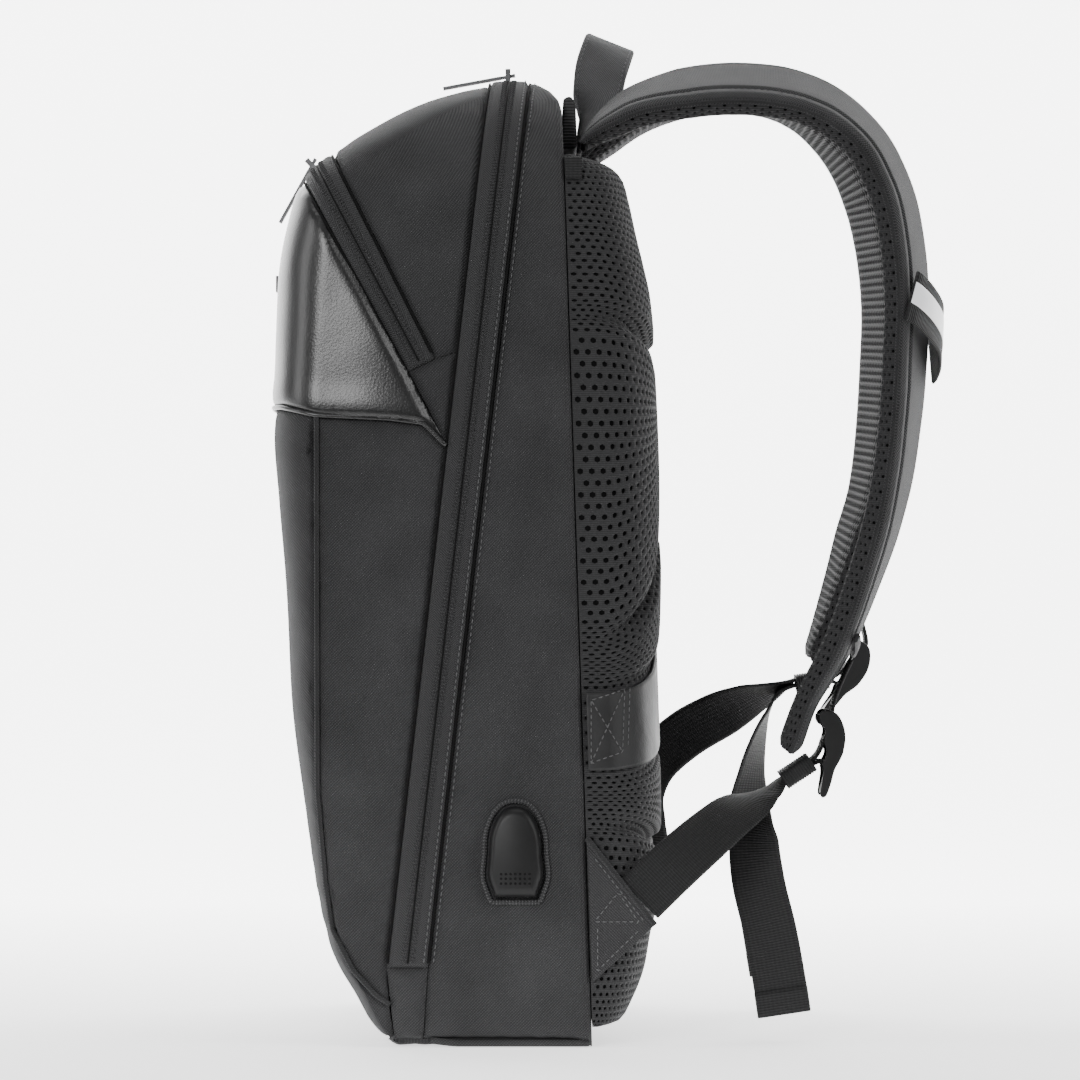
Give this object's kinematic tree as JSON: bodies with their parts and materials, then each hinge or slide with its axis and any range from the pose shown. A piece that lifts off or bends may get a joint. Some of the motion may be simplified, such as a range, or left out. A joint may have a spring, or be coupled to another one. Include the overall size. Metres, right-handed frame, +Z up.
{
  "type": "laptop backpack",
  "caption": "Zipped laptop backpack with a glossy front pocket, ribbed mesh back pads, padded shoulder straps with webbing adjusters, a grab handle and a side charging port.",
  "frame": {"origin": "centre of the base's underside, where the bag stands", "axes": "+Z up; -Y is the front with the glossy pocket, +Y the side worn against the back; +X is the side with the charging port"},
  "size_m": [0.3043, 0.3183, 0.4819],
  "materials": {
    "twill": "matt twill weave",
    "zip_tape": "matt herringbone tape",
    "leather": "glossy grained",
    "band": "satin",
    "mesh": "open knitted mesh over foam",
    "webbing": "ribbed webbing",
    "reflective": "silver stripe on webbing",
    "plastic": "satin moulded",
    "metal": "gunmetal"
  },
  "bodies": {
    "bag": {"base_panel": "twill", "back_panel": "twill", "gusset": "twill", "main_zip_tape": "zip_tape", "zip_end_near": "twill", "zip_end_far": "twill", "lid_panel": "twill", "pocket_zip_tape": "zip_tape", "wedge_near": "twill", "wedge_far": "twill", "leather_panel": "leather", "front_side_near": "twill", "front_side_far": "twill", "front_panel": "twill", "front_plate": "metal", "back_pad_near": "mesh", "back_pad_far": "mesh", "luggage_band": "band", "top_yoke": "twill", "corner_tab_near": "webbing", "corner_tab_far": "webbing", "shoulder_cover_near": "twill", "shoulder_cover_far": "twill", "shoulder_lining_near": "mesh", "shoulder_lining_far": "mesh", "strap_loop_near": "reflective", "strap_loop_far": "reflective", "strap_tack_near": "webbing", "strap_tack_far": "webbing", "grab_handle": "webbing", "ladder_lock_near": "plastic", "ladder_lock_far": "plastic", "lock_webbing_near": "webbing", "lock_webbing_far": "webbing", "adjuster_strap_near": "webbing", "adjuster_strap_far": "webbing", "strap_keeper_near": "webbing", "strap_keeper_far": "webbing", "anchor_wing_near": "twill", "anchor_wing_far": "twill", "port_hood": "plastic", "port_rim": "twill", "main_slider": "metal", "pocket_slider": "metal"},
    "main_zip_pull": {"main_pull": "metal"},
    "pocket_zip_pull": {"pocket_pull": "metal"}
  },
  "joints": [
    {"name": "main_pull_hinge", "type": "hinge", "parent": "bag", "child": "main_zip_pull", "pos_m": [0, 0.0062, 0.4605], "axis": [-1, 0, 0], "range_deg": [0, 45]},
    {"name": "pocket_pull_hinge", "type": "hinge", "parent": "bag", "child": "pocket_zip_pull", "pos_m": [0, -0.08913, 0.41747], "axis": [-1, 0, 0], "range_deg": [0, 60]}
  ]
}
